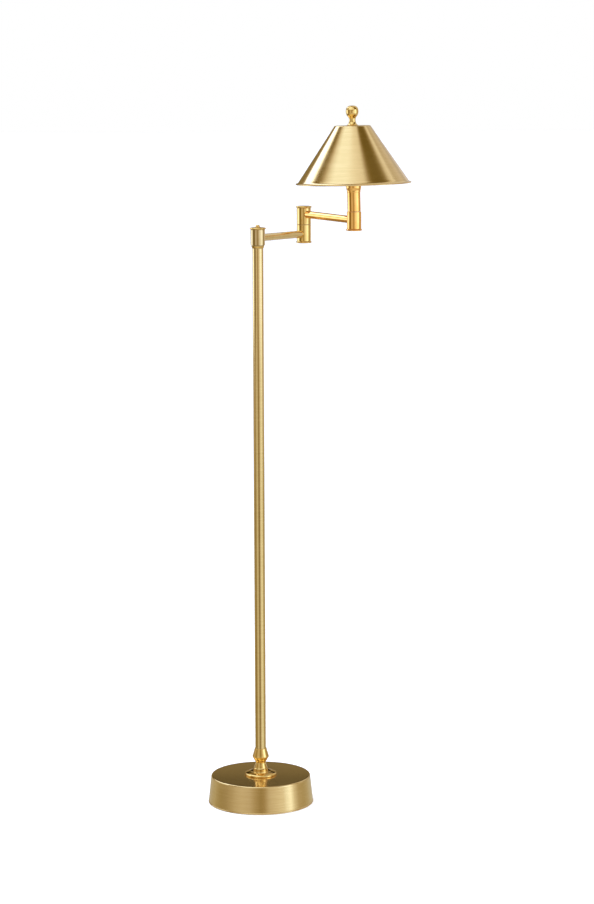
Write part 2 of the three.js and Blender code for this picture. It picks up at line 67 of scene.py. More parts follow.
class Nodes:
    """A short way to write a node tree."""

    def __init__(self, tree):
        self.tree = tree
        tree.nodes.clear()

    def add(self, kind, inputs=None, **settings):
        node = self.tree.nodes.new(kind)
        for key, value in settings.items():
            setattr(node, key, value)
        for key, value in (inputs or {}).items():
            self.feed(node.inputs[key], value)
        return node

    def feed(self, socket, value):
        if isinstance(value, bpy.types.NodeSocket):
            self.tree.links.new(value, socket)
        else:
            socket.default_value = value

    def math(self, operation, a, b=0.0):
        return self.add("ShaderNodeMath", {0: a, 1: b}, operation=operation).outputs[0]

    def ramp(self, factor, stops):
        node = self.add("ShaderNodeValToRGB", {"Fac": factor})
        elements = node.color_ramp.elements
        while len(elements) < len(stops):
            elements.new(0.5)
        for element, (position, colour) in zip(elements, stops):
            element.position = position
            element.color = (*colour, 1)
        return node.outputs["Color"]

    def span(self, value, from_low, from_high, to_low=0.0, to_high=1.0):
        inputs = {0: value, 1: from_low, 2: from_high, 3: to_low, 4: to_high}
        return self.add("ShaderNodeMapRange", inputs, interpolation_type="SMOOTHSTEP").outputs[0]

    def mix(self, factor, a, b):
        node = self.add("ShaderNodeMix", data_type="RGBA")
        for key, value in ((0, factor), (6, a), (7, b)):
            self.feed(node.inputs[key], value)
        return node.outputs[2]

    def noise(self, vector, scale, detail=2.0, roughness=0.5):
        inputs = {"Vector": vector, "Scale": scale, "Detail": detail, "Roughness": roughness}
        return self.add("ShaderNodeTexNoise", inputs).outputs["Fac"]


def material(name):
    made = bpy.data.materials.new(name)
    made.use_nodes = True
    return made, Nodes(made.node_tree)


def surface(n, **inputs):
    sockets = {key.replace("_", " "): value for key, value in inputs.items()}
    shader = n.add("ShaderNodeBsdfPrincipled", sockets)
    n.add("ShaderNodeOutputMaterial", {"Surface": shader.outputs[0]})


# ------------------------------------------------------------------ materials


def ring_lines(n):
    """Coordinates that change fast across the turning marks and slowly along them."""
    place = n.add("ShaderNodeTexCoord").outputs["Object"]
    xyz = n.add("ShaderNodeSeparateXYZ", {0: place}).outputs
    squares = [n.math("MULTIPLY", xyz[i], xyz[i]) for i in (0, 1)]
    radius = n.math("SQRT", n.math("ADD", *squares))
    across = n.math("SUBTRACT", xyz[2], n.math("MULTIPLY", radius, 0.8))
    return xyz, across


def streaks(n, xyz, across, length, pitch):
    """Noise in streaks of about that length and pitch, in metres, round the axis."""
    sizes = ((xyz[0], length), (xyz[1], length), (across, pitch))
    parts = {i: n.math("DIVIDE", value, size) for i, (value, size) in enumerate(sizes)}
    place = n.add("ShaderNodeCombineXYZ", parts).outputs[0]
    return n.noise(place, 1.0, 3.0, 0.6)


def brushed_brass(name, light, dark, roughness, bump, anisotropic=0.7, coat=0.12):
    made, n = material(name)
    xyz, across = ring_lines(n)
    fine = streaks(n, xyz, across, 0.03, 0.0006)
    broad = streaks(n, xyz, across, 0.09, 0.004)
    cloud = n.noise(n.add("ShaderNodeTexCoord").outputs["Object"], 14.0, 3.0, 0.55)
    tone = n.math("ADD", n.math("MULTIPLY", fine, 0.45), n.math("MULTIPLY", broad, 0.35))
    tone = n.math("ADD", tone, n.math("MULTIPLY", cloud, 0.2))
    colour = n.mix(n.span(tone, 0.36, 0.64), (*dark, 1), (*light, 1))
    worn = n.math("ADD", n.math("MULTIPLY", fine, 0.6), n.math("MULTIPLY", cloud, 0.4))
    rough = n.span(worn, 0.3, 0.7, roughness * 0.8, roughness * 1.25)
    height = n.add("ShaderNodeBump", {"Height": fine, "Strength": bump, "Distance": 0.00004}).outputs[0]
    tangent = n.add("ShaderNodeTangent", direction_type="RADIAL", axis="Z").outputs[0]
    surface(n, Base_Color=colour, Metallic=1.0, Roughness=rough, Normal=height, Tangent=tangent,
            Anisotropic=anisotropic, Anisotropic_Rotation=0.25, Coat_Weight=coat, Coat_Roughness=0.12)
    return made


def polished_brass(name, light, dark, roughness=0.07):
    made, n = material(name)
    place = n.add("ShaderNodeTexCoord").outputs["Object"]
    smear = n.noise(place, 60.0, 4.0, 0.6)
    pits = n.noise(place, 900.0, 2.0, 0.5)
    colour = n.mix(n.span(smear, 0.35, 0.7), (*light, 1), (*dark, 1))
    rough = n.span(smear, 0.35, 0.72, roughness * 0.7, roughness * 1.7)
    height = n.add("ShaderNodeBump", {"Height": pits, "Strength": 0.05, "Distance": 0.00003}).outputs[0]
    surface(n, Base_Color=colour, Metallic=1.0, Roughness=rough, Normal=height,
            Coat_Weight=0.15, Coat_Roughness=0.04)
    return made


def speckled(name, light, dark, roughness, metallic=0.0, scale=400.0, bump=0.1, depth=0.0001, **more):
    """A plain material with a fine grain."""
    made, n = material(name)
    place = n.add("ShaderNodeTexCoord").outputs["Object"]
    grain = n.noise(place, scale, 4.0, 0.65)
    cloud = n.noise(place, scale * 0.08, 3.0, 0.5)
    mixed = n.math("ADD", n.math("MULTIPLY", grain, 0.6), n.math("MULTIPLY", cloud, 0.4))
    colour = n.mix(n.span(mixed, 0.35, 0.65), (*dark, 1), (*light, 1))
    rough = n.span(mixed, 0.3, 0.7, roughness * 0.85, min(1.0, roughness * 1.15))
    height = n.add("ShaderNodeBump", {"Height": grain, "Strength": bump, "Distance": depth}).outputs[0]
    surface(n, Base_Color=colour, Metallic=metallic, Roughness=rough, Normal=height, **more)
    return made


MATERIALS = {
    "brushed_brass": brushed_brass("brushed_brass", (0.84, 0.61, 0.26), (0.77, 0.54, 0.21), 0.14, 0.12),
    "polished_brass": polished_brass("polished_brass", (0.86, 0.58, 0.18), (0.8, 0.52, 0.145)),
    "plain_brass": brushed_brass("plain_brass", (0.75, 0.55, 0.25), (0.66, 0.46, 0.19), 0.3, 0.2, 0.3, 0.0),
    "steel": speckled("steel", (0.62, 0.62, 0.61), (0.5, 0.5, 0.5), 0.35, 1.0),
    "cast_iron": speckled("cast_iron", (0.07, 0.07, 0.072), (0.035, 0.035, 0.036), 0.8, 0.6, 500.0, 0.6,
                          0.0003),
    "felt": speckled("felt", (0.05, 0.07, 0.045), (0.02, 0.03, 0.018), 0.95, 0.0, 900.0, 0.8, 0.0004,
                     Sheen_Weight=0.4),
    "phenolic": speckled("phenolic", (0.022, 0.018, 0.015), (0.012, 0.01, 0.009), 0.28, Coat_Weight=0.3),
    "fibre": speckled("fibre", (0.28, 0.18, 0.1), (0.2, 0.12, 0.065), 0.85, 0.0, 600.0, 0.4),
    "wire_jacket": speckled("wire_jacket", (0.5, 0.4, 0.2), (0.42, 0.33, 0.16), 0.45),
    "frosted_glass": speckled("frosted_glass", (0.93, 0.92, 0.88), (0.88, 0.87, 0.83), 0.3, 0.0, 300.0, 0.04,
                              Coat_Weight=0.4, Subsurface_Weight=0.15),
}
# A paler, more yellow copy of polished brass for arm 1: painted light, the same metal made lighter.
PAINTED_PALE_LIGHT_BRASS = polished_brass("polished_brass_painted_pale_light", (0.86, 0.64, 0.27), (0.8, 0.58, 0.22))
# A darker copy of polished brass for the pole barrel: painted shade, the same metal made darker.
PAINTED_SHADE_BRASS = polished_brass("polished_brass_painted_shade", (0.7, 0.51, 0.23), (0.64, 0.46, 0.19), 0.05)
# A brighter, warmer copy of polished brass for arm 2 and the head below the shade: painted light, the same
# metal made brighter.
PAINTED_WARM_LIGHT_BRASS = polished_brass("polished_brass_painted_warm_light", (1.0, 0.57, 0.15), (0.98, 0.5, 0.11), 0.09)

# ------------------------------------------------------------------ shapes


def arc(radius, height, width, rise, start, end, steps=10):
    """Points round an arc in a profile, from one angle to another, in degrees."""
    angles = [math.radians(start + (end - start) * i / steps) for i in range(steps + 1)]
    return [(radius + width * math.cos(a), height + rise * math.sin(a)) for a in angles]


def smooth(points, steps=6):
    """More points on the smooth curve through the given ones."""
    spots = [Vector(p) for p in points]
    spots = [2 * spots[0] - spots[1], *spots, 2 * spots[-1] - spots[-2]]
    out = []
    for a, b, c, d in zip(spots, spots[1:], spots[2:], spots[3:]):
        for i in range(steps):
            t = i / steps
            out.append(0.5 * (2 * b + (c - a) * t + (2 * a - 5 * b + 4 * c - d) * t**2
                              + (3 * b - a - 3 * c + d) * t**3))
    return [tuple(p) for p in (*out, spots[-2])]


def finished(name, mesh, node, matrix, look=None, edge=0.0):
    """Makes the piece that stands for a CAD node: its place, body, slot and material."""
    mesh.shade_smooth()
    mesh.set_sharp_from_angle(angle=SHARP_ANGLE)
    piece = bpy.data.objects.new(name, mesh)
    bpy.context.scene.collection.objects.link(piece)
    piece.matrix_world = matrix
    if edge:
        bevel = piece.modifiers.new("edges", "BEVEL")
        bevel.width = edge * MM
        bevel.segments = 3
        bevel.limit_method = "ANGLE"
        bevel.angle_limit = math.radians(40)
        bevel.harden_normals = True
    mesh.materials.append(look or MATERIALS[SLOT[node]])
    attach(piece, BODY[node])
    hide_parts(node)
    return piece


def supported(profile, long=2.0, margin=0.3):
    """More points near the ends of each long stretch, so that smooth shading turns only at its edges."""
    out = []
    for (r1, z1), (r2, z2) in zip(profile, profile[1:]):
        length = math.dist((r1, z1), (r2, z2))
        out.append((r1, z1))
        if length > long:
            shares = (margin / length, 1 - margin / length)
            out += [(r1 + (r2 - r1) * t, z1 + (z2 - z1) * t) for t in shares]
    return [*out, profile[-1]]


def spin(profile, facets):
    """The mesh of a closed profile turned about Z. It starts and ends on the axis, or is a ring."""
    points = [p for i, p in enumerate(profile) if i == 0 or math.dist(p, profile[i - 1]) > 1e-4]
    points = supported(points)
    is_ring = min(p[0] for p in points) > 1e-6
    turn = [2 * math.pi * i / facets for i in range(facets)]
    mesh = bmesh.new()
    rows = []
    for radius, height in points:
        if radius < 1e-6:
            rows.append([mesh.verts.new((0, 0, height * MM))])
            continue
        r, z = radius * MM, height * MM
        rows.append([mesh.verts.new((r * math.cos(a), r * math.sin(a), z)) for a in turn])
    pairs = list(zip(rows, rows[1:])) + ([(rows[-1], rows[0])] if is_ring else [])
    for low, high in pairs:
        for i in range(facets):
            j = (i + 1) % facets
            corners = [low[i % len(low)], low[j % len(low)], high[j % len(high)], high[i % len(high)]]
            unique = list(dict.fromkeys(corners))
            if len(unique) > 2:
                mesh.faces.new(unique)
    bmesh.ops.recalc_face_normals(mesh, faces=mesh.faces)
    made = bpy.data.meshes.new("turned")
    mesh.to_mesh(made)
    mesh.free()
    return made


def upright(node):
    """The frame in which a node stands straight: the head's own for what leans with the head."""
    return HEAD if node.startswith(HEAD_FAMILIES) else Matrix.Identity(4)


def corners(node):
    """A node's lowest and highest corner in its upright frame."""
    holder = frame["nodes"][node]
    to_upright = upright(node).inverted() @ holder.matrix_world
    spots = [to_upright @ vertex.co for vertex in holder.data.vertices]
    return [Vector([pick(spot[i] for spot in spots) for i in range(3)]) for pick in (min, max)]


def height_of(node):
    low, high = corners(node)
    return (high.z - low.z) / MM


def axis_at(node):
    """The point of a turned node's axis at its lowest height, in its upright frame."""
    low, high = corners(node)
    return Vector(((low.x + high.x) / 2, (low.y + high.y) / 2, low.z))


def seat(node):
    return upright(node) @ Matrix.Translation(axis_at(node))


def turned(node, profile, facets=96, matrix=None, look=None):
    """A piece turned to a profile, in place of its CAD node."""
    return finished(node + "_skin", spin(profile, facets), node, matrix or seat(node), look)


def tube_profile(outer, inner, height, round_edge=0.3):
    edge = round_edge
    return [(inner, 0), *arc(outer - edge, edge, edge, edge, -90, 0, 4),
            *arc(outer - edge, height - edge, edge, edge, 0, 90, 4), (inner, height)]


def rod_profile(radius, height, round_edge=0.3):
    return [(0, 0), *tube_profile(radius, 0, height, round_edge)[1:-1], (0, height)]


def swept(node, route, radius, sides=24):
    """A round wire along the smooth curve through a route of points, from the node's seat."""
    spots = [Vector(p) for p in smooth(route, 8)]
    turn = [2 * math.pi * k / sides for k in range(sides)]
    mesh = bmesh.new()
    rings = []
    side = Vector((1, 0, 0))
    for i, spot in enumerate(spots):
        along = (spots[min(i + 1, len(spots) - 1)] - spots[max(i - 1, 0)]).normalized()
        side = (side - along * side.dot(along)).normalized()
        other = along.cross(side)
        edge = [spot + radius * (math.cos(a) * side + math.sin(a) * other) for a in turn]
        rings.append([mesh.verts.new(point * MM) for point in edge])
    for low, high in zip(rings, rings[1:]):
        for k in range(sides):
            j = (k + 1) % sides
            mesh.faces.new((low[k], low[j], high[j], high[k]))
    mesh.faces.new(rings[0][::-1])
    mesh.faces.new(rings[-1])
    bmesh.ops.recalc_face_normals(mesh, faces=mesh.faces)
    made = bpy.data.meshes.new(node)
    mesh.to_mesh(made)
    mesh.free()
    finished(node + "_skin", made, node, seat(node))


def cut(piece, cutter_mesh, matrix):
    """Cuts a hole in a piece with another mesh."""
    cutter = bpy.data.objects.new("cutter", cutter_mesh)
    bpy.context.scene.collection.objects.link(cutter)
    cutter.matrix_world = matrix
    modifier = piece.modifiers.new("hole", "BOOLEAN")
    modifier.operation = "DIFFERENCE"
    modifier.solver = "EXACT"
    modifier.object = cutter
    graph = bpy.context.evaluated_depsgraph_get()
    carved = bpy.data.meshes.new_from_object(piece.evaluated_get(graph))
    piece.modifiers.remove(modifier)
    piece.data = carved
    bpy.data.objects.remove(cutter)
    carved.set_sharp_from_angle(angle=SHARP_ANGLE)


# ------------------------------------------------------------------ base

BASE_HEIGHT = height_of("base_shell")
DRUM_BOTTOM = 107.0
DRUM_TOP = 101.3
SHOULDER = 3.0  # the rounding between the drum's side and its top
WALL = 1.5
PIPE_HOLE = 5.3
INLET_HOLE = 5.2

shell = [
    (105.5, 0.0),
    (106.6, 0.0),
    *arc(106.2, 1.2, 1.1, 1.2, -70, 70, 8),
    (106.62, 3.0),
    (106.5, 3.2),
    (106.62, 3.5),
    *arc(DRUM_TOP - SHOULDER, BASE_HEIGHT - SHOULDER, SHOULDER, SHOULDER, 6, 90, 10),
    (60.0, BASE_HEIGHT),
    (PIPE_HOLE, BASE_HEIGHT),
    (PIPE_HOLE, BASE_HEIGHT - WALL),
    (DRUM_TOP - SHOULDER, BASE_HEIGHT - WALL),
    (DRUM_TOP - 1.8, BASE_HEIGHT - 3.5),
    (105.3, 0.8),
]
base = turned("base_shell", shell, 192)

tilt = math.atan((DRUM_BOTTOM - DRUM_TOP) / BASE_HEIGHT)
inlet_low, inlet_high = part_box("cord_bushing")
inlet_z = (inlet_low[2] + inlet_high[2]) / 2
wall_y = DRUM_BOTTOM * MM - inlet_z * math.tan(tilt)
at_inlet = Matrix.Translation((0, wall_y, inlet_z)) @ Matrix.Rotation(tilt - math.pi / 2, 4, "X")
cut(base, spin(rod_profile(INLET_HOLE, 16), 48), at_inlet @ Matrix.Translation((0, 0, -8 * MM)))
bushing = [
    (3.2, -6),
    (5.0, -6),
    (5.0, 0.2),
    (7.0, 0.2),
    *arc(6.4, 1.2, 0.8, 1.1, -30, 90, 8),
    *arc(4.2, 1.4, 1.0, 0.9, 90, 180, 6),
]
turned("cord_bushing", bushing, 64, at_inlet)
turned("base_felt", rod_profile(104.2, 2.5, 0.8), 160)

# ------------------------------------------------------------------ neck and pole

dome = [
    (5.2, 0),
    (31.1, 0),
    *smooth([
        *arc(26.2, 1.5, 6.2, 3.6, -26, 74, 8),
        (25.2, 5.6),
        (22.0, 6.2),
        (18.9, 6.0),
        (16.7, 5.6),
    ]),
    *smooth([(15.7, 5.7), (15.2, 6.8), (15.0, 8.8), (14.9, 12.8)]),
    (5.2, 12.8),
]
turned("neck_dome", dome, 128)
vase = smooth([(14.5, 0), (13.4, 1.7), (12.1, 5.7), (11.0, 9.1), (10.5, 11.7), (10.9, 13.9), (12.3, 16.1)])
turned("neck_vase", [(5.2, 0), *vase, (5.2, 16.1)])
collar = [
    (5.2, 0),
    *smooth([(12.4, 0), (14.4, 3.8), (16.0, 6.2), (16.9, 8.0), (16.8, 9.3), (16.3, 10.8), (15.9, 12.2)]),
    (12.4, 24.0),
    *arc(11.9, 24.9, 0.4, 0.6, 0, 90, 6),
    (11.3, 25.5),
    (11.3, 10.5),
    (5.2, 10.5),
]
turned("pole_collar", collar)
turned("pole_tube", tube_profile(11.0, 9.8, height_of("pole_tube"), 0.2))
seat_ring = [(5.3, 0), (11.3, 0), *smooth([(11.3, 0), (11.9, 1.1), (12.6, 3.2), (13.0, 4.6)]), (5.3, 4.7)]
turned("pole_seat_ring", seat_ring)
turned("pole_swivel_washer", tube_profile(12.8, 5.3, 0.8, 0.2))

# ------------------------------------------------------------------ swivel barrels and arms

ARM_RADIUS = 7.4
ARM_WALL = 1.2
ARM_INSET = 9.2  # from a barrel's axis to the end of the arm tube inside it
BARREL_RADIUS = 14.4
BARREL_BORE = 12.4
BARREL_FLOOR = 3.0


def arm_line(node, from_node):
    """The centre of an arm tube's near end, the way along the tube, and its length."""
    holder = frame["nodes"][node]
    spots = [holder.matrix_world @ vertex.co for vertex in holder.data.vertices]
    start = axis_at(from_node)
    spots.sort(key=lambda spot: (spot - start).xy.length)
    half = len(spots) // 2
    near, far = (sum(end, Vector()) / half for end in (spots[:half], spots[-half:]))
    return near, (far - near).normalized(), (far - near).length


def facing(way):
    return way.to_track_quat("Z", "Y").to_matrix().to_4x4()


def barrel(node, arm_node, floor_at, hole, look=None):
    """A barrel with a floor at one end and the arm's hole in its side."""
    height = height_of(node)
    outside = tube_profile(BARREL_RADIUS, BARREL_BORE, height)[1:-1]
    if floor_at == "bottom":
        inside = [(BARREL_BORE, height), (BARREL_BORE, BARREL_FLOOR), (hole, BARREL_FLOOR)]
        outline = [(hole, 0), *outside, *inside]
    else:
        inside = [(hole, height), (hole, height - BARREL_FLOOR), (BARREL_BORE, height - BARREL_FLOOR)]
        outline = [(BARREL_BORE, 0), *outside, *inside]
    piece = turned(node, outline, look=look)
    near, way, _ = arm_line(arm_node, node)
    centre = near - way * ARM_INSET * MM
    cut(piece, spin(rod_profile(ARM_RADIUS + 0.15, 24), 72), Matrix.Translation(centre) @ facing(way))


def cap(node, is_top, hole=0.0, look=None):
    """The beaded cap of a barrel. Its plug points into the barrel."""
    plug = 2.4
    flange = [
        (12.1, 0),
        (12.1, plug + 0.3),
        (14.3, plug + 0.3),
        *arc(14.3, plug + 2.2, 1.9, 1.7, -70, 84, 12),
        (14.2, plug + 3.7),
        *arc(12.6, plug + 3.9, 0.9, 0.4, 0, 90, 4),
        (hole, plug + 4.3),
    ]
    profile = [(hole, 0), *flange]
    if not is_top:
        height = height_of(node)
        profile = [(radius, height - z) for radius, z in profile]
    turned(node, profile, look=look)


def arm_tube(node, from_node, look):
    near, way, length = arm_line(node, from_node)
    profile = tube_profile(ARM_RADIUS, ARM_RADIUS - ARM_WALL, length / MM)
    turned(node, profile, 64, Matrix.Translation(near) @ facing(way), look)


# The pole barrel takes the darker copy of polished brass, which is painted shade.
barrel("pole_barrel", "arm_1_tube", "bottom", 5.4, look=PAINTED_SHADE_BRASS)
cap("pole_barrel_cap", True, 2.7)
ring = [(2.7, 0), *arc(5.4, 0.45, 0.5, 0.45, -90, 90, 8), (2.7, 0.9)]
turned("pole_cap_ring", ring, 64)
screw = [
    (0, 0),
    (2.4, 0),
    (2.4, 6.8),
    (3.7, 6.8),
    *smooth([(4.0, 7.1), (4.1, 8.0), (3.7, 9.2), (2.8, 10.0), (1.5, 10.35), (0, 10.4)]),
]
turned("pole_cap_screw", screw, 64)
# Arm 1 takes the paler copy of polished brass, which is painted light.
arm_tube("arm_1_tube", "pole_barrel", PAINTED_PALE_LIGHT_BRASS)
barrel("knuckle_lower_barrel", "arm_1_tube", "top", 5.3)
cap("knuckle_bottom_cap", False)
turned("knuckle_swivel_washer", tube_profile(13.8, 5.3, 0.6, 0.15))
barrel("knuckle_upper_barrel", "arm_2_tube", "bottom", 5.4)
cap("knuckle_top_cap", True)
# Arm 2, the head barrel and its cap take the brighter copy of polished brass, which is painted light.
arm_tube("arm_2_tube", "knuckle_upper_barrel", PAINTED_WARM_LIGHT_BRASS)
barrel("head_barrel", "arm_2_tube", "top", 5.3, look=PAINTED_WARM_LIGHT_BRASS)
cap("head_bottom_cap", False, look=PAINTED_WARM_LIGHT_BRASS)

# ------------------------------------------------------------------ lamp head

HEAD_PIPE_HOLE = 5.1

candle_height = height_of("candle_tube")
candle = [
    (HEAD_PIPE_HOLE, 0),
    *arc(12.9, 0.3, 0.3, 0.3, -90, 0, 4),
    *smooth([
        (13.2, 12),
        (13.2, candle_height - 16),
        (13.5, candle_height - 12.5),
        (14.0, candle_height - 8.8),
        (14.9, candle_height - 4.8),
        (15.3, candle_height - 0.9),
    ]),
    *arc(14.9, candle_height - 0.5, 0.4, 0.5, 0, 90, 4),
    (HEAD_PIPE_HOLE, candle_height),
    (HEAD_PIPE_HOLE, candle_height - 2),
    (11.9, candle_height - 2),
    (11.9, 2),
    (HEAD_PIPE_HOLE, 2),
]
# The candle tube takes the brighter copy of polished brass, which is painted light.
turned("candle_tube", candle, look=PAINTED_WARM_LIGHT_BRASS)

socket_cap = [
    (HEAD_PIPE_HOLE, 0),
    *smooth([(12.2, 0), (13.6, 0.7), (14.6, 2.0), (15.3, 4.0), (15.6, 6.2)]),
    (15.6, 11.7),
    *arc(15.2, 11.7, 0.4, 0.4, 0, 180, 6),
    (14.8, 6.4),
    (12, 1.4),
    (HEAD_PIPE_HOLE, 1.4),
]
# The socket cap takes the brighter copy of polished brass, which is painted light.
turned("socket_cap", socket_cap, look=PAINTED_WARM_LIGHT_BRASS)
shell_height = height_of("socket_shell")
shell_profile = [
    (15.0, 0),
    *arc(15.5, 0.8, 0.6, 0.8, -90, 90, 8),
    (15.6, 2.2),
    (15.6, shell_height - 1.6),
    *arc(15.5, shell_height - 0.8, 0.5, 0.8, -80, 90, 8),
    (15.0, shell_height),
]
socket_shell = turned("socket_shell", shell_profile)
stem_low, stem_high = corners("switch_stem")
STEM_Z = (stem_low.z + stem_high.z) / 2
outwards = HEAD @ Matrix.Translation((0, 0, STEM_Z)) @ Matrix.Rotation(-math.pi / 2, 4, "Y")
cut(socket_shell, spin(rod_profile(2.9, 12), 48), outwards @ Matrix.Translation((0, 0, 10 * MM)))
turned("switch_stem", rod_profile(2.4, 17.6), 48, outwards @ Matrix.Translation((0, 0, 6 * MM)))


def paddle(node):
    """The switch's turning knob: an oval with rounded edges and a waist, along the stem."""
    low, high = corners(node)
    length = high.x - low.x
    half_y, half_z = (high.y - low.y) / 2, (high.z - low.z) / 2
    sections = [(0.0, 0.8), (0.05, 0.94), (0.14, 1.0), (0.4, 0.96), (0.7, 0.96), (0.88, 1.0), (0.96, 0.92),
                (1.0, 0.78)]
    count = 72
    mesh = bmesh.new()
    rings = []
    for along, swell in sections:
        ring = []
        for i in range(count):
            a = 2 * math.pi * i / count
            grip = 1 - 0.035 * (0.5 + 0.5 * math.cos(12 * a))
            y = half_y * swell * grip * math.cos(a)
            z = half_z * swell * grip * math.sin(a)
            ring.append(mesh.verts.new((high.x - along * length, y, z + STEM_Z)))
        rings.append(ring)
    for one, two in zip(rings, rings[1:]):
        for i in range(count):
            j = (i + 1) % count
            mesh.faces.new((one[i], one[j], two[j], two[i]))
    mesh.faces.new(rings[0][::-1])
    mesh.faces.new(rings[-1])
    bmesh.ops.recalc_face_normals(mesh, faces=mesh.faces)
    made = bpy.data.meshes.new(node)
    mesh.to_mesh(made)
    mesh.free()
    finished(node + "_skin", made, node, HEAD, edge=0.4)


paddle("switch_knob")

bulb_cap = [
    (0, 0),
    (4.5, 0),
    (5, 0.6),
    (8.5, 3),
    (12.2, 4.6),
    *[point for turn in range(6) for point in arc(12.1, 6.6 + 2.4 * turn, 0.7, 1.2, -90, 90, 6)],
    (12.1, 20),
    (12.4, 21),
    (12.4, 23.2),
    (0, 23.2),
]
turned("bulb_cap", bulb_cap, 64)
glass_height = height_of("bulb_glass")
glass = smooth([(12.4, 0), (12.9, 4), (15.6, 11), (20.6, 19.6), (23.2, 27.2), (23.2, 34.4), (20.6, 42.4),
                (14.4, 49.2), (7, 52.8), (0, glass_height)], 8)
inner = [(max(0.0, radius - 0.8), z - 0.6) for radius, z in glass[1:]]
inner[-1] = (0, glass_height - 0.8)
turned("bulb_glass", [*inner[::-1], (11.6, 0), *glass[:-1], (0, glass_height)], 72)

half_route = [(20.6, 0), (20.6, 9), (27, 22), (35, 38), (38, 56), (34, 76), (24, 90), (12, 97)]
harp_route = [*half_route, (0, 99.5), *[(-y, z) for y, z in half_route[::-1]]]
swept("harp_wire", [(0, y, z) for y, z in harp_route], 1.6)
for ferrule in ("harp_ferrule_1", "harp_ferrule_2"):
    turned(ferrule, tube_profile(3.2, 2.1, height_of(ferrule), 0.5), 48)
stud_height = height_of("harp_stud")
stud = [
    (0, 0),
    (4.6, 0),
    (8.6, stud_height - 17.6),
    (9, stud_height - 17.2),
    (9, stud_height - 16.1),
    (3.1, stud_height - 16.1),
    (3.1, stud_height - 0.4),
    (2.7, stud_height),
    (0, stud_height),
]
turned("harp_stud", stud, 64)

shade_height = height_of("shade")
RIM_RADIUS = 114.9
TOP_RADIUS = 36.8
shade = [
    (3.6, shade_height),
    (20.0, shade_height),
    *arc(TOP_RADIUS - 3.2, shade_height - 3.2, 3.2, 3.2, 90, 36, 10),
    *smooth([
        (RIM_RADIUS - 8.0, 8.5),
        (RIM_RADIUS - 6.8, 6.6),
        (RIM_RADIUS - 5.2, 4.4),
        (RIM_RADIUS - 3.0, 2.8),
    ]),
    *arc(RIM_RADIUS - 0.9, 1.25, 0.9, 1.25, 80, -90, 10),
    *arc(RIM_RADIUS - 1.2, 1.25, 0.5, 0.7, -90, -200, 6),
    *smooth([
        (RIM_RADIUS - 3.4, 1.5),
        (RIM_RADIUS - 6.2, 3.4),
        (RIM_RADIUS - 8.2, 6.4),
        (RIM_RADIUS - 9.4, 8.6),
    ]),
    (TOP_RADIUS - 1.6, shade_height - 4.0),
    (TOP_RADIUS - 4.0, shade_height - 1.2),
    (3.6, shade_height - 1.2),
]
turned("shade", shade[::-1], 192)

finial_height = height_of("finial")
finial = [
    (0, 16.2),
    (3.4, 15.2),
    (3.4, 0),
    *arc(10.8, 0.5, 0.5, 0.5, -90, 90, 6),
    *smooth([(10.0, 1.4), (8.7, 2.8), (7.2, 5.4), (6.5, 8.6), (6.4, 12.2), (7.0, 15.0)]),
    *smooth([(7.0, 15.0), (8.4, 17.0), (10.6, 19.8), (12.1, 23.6), (12.5, 27.8), (11.9, 32.0), (9.9, 35.8),
             (6.4, 38.1), (3.0, 38.85)], 8),
    (0, finial_height),
]
turned("finial", finial)

# ------------------------------------------------------------------ what stays as the CAD made it

replaced = {name for name in SLOT if frame["nodes"][name].hide_render}
for node, slot_name in SLOT.items():
    if node in replaced:
        continue
    holder = frame["nodes"][node]
    holder.data.materials.clear()
    holder.data.materials.append(MATERIALS[slot_name])

# ------------------------------------------------------------------ floor, light and camera

WHITE = (1.0, 1.0, 1.0, 1.0)
LAMP_MIDDLE = Vector((0.1, 0, 0.6))


def floor():
    """A pale floor that doesn't show in reflections."""
    mesh = bmesh.new()
    bmesh.ops.create_grid(mesh, x_segments=4, y_segments=4, size=60)
    made = bpy.data.meshes.new("floor")
    mesh.to_mesh(made)
    mesh.free()
    plane = bpy.data.objects.new("floor", made)
    bpy.context.scene.collection.objects.link(plane)
    pale, n = material("floor")
    surface(n, Base_Color=(0.82, 0.82, 0.82, 1), Roughness=0.9, Emission_Color=WHITE, Emission_Strength=0.42)
    made.materials.append(pale)
    plane.visible_glossy = False


def tone(level):
    """The colour of a panel: dark gaps are brown and bright panels a little cool."""
    warm = (1.32, 0.92, 0.04)
    even = (1.02, 0.98, 1.0)
    cool = (0.88, 1.04, 1.42)
    share = min(1.0, level / 0.6)
    low = [a + (b - a) * share for a, b in zip(warm, even)]
    high = max(0.0, min(1.0, (level - 0.7) / 0.7))
    red, green, blue = [level * (a + (b - a) * high) for a, b in zip(low, cool)]
    return [red, green, blue * (1 + 0.1 * max(0.0, min(1.0, (level - 1.75) / 0.4)))]


def panels(n, x, y, levels, green=1.0):
    """Brightness round the lamp. Azimuth is 0 towards -Y and grows towards +X."""
    azimuth = n.math("ARCTAN2", x, n.math("MULTIPLY", y, -1.0))
    turn = n.math("ADD", n.math("DIVIDE", azimuth, 2 * math.pi), 0.5)
    stops = []
    for degrees, level in levels:
        red, middle, blue = tone(level)
        stops.append(((degrees + 180) / 360, (red, middle * green, blue)))
    return n.ramp(turn, stops)


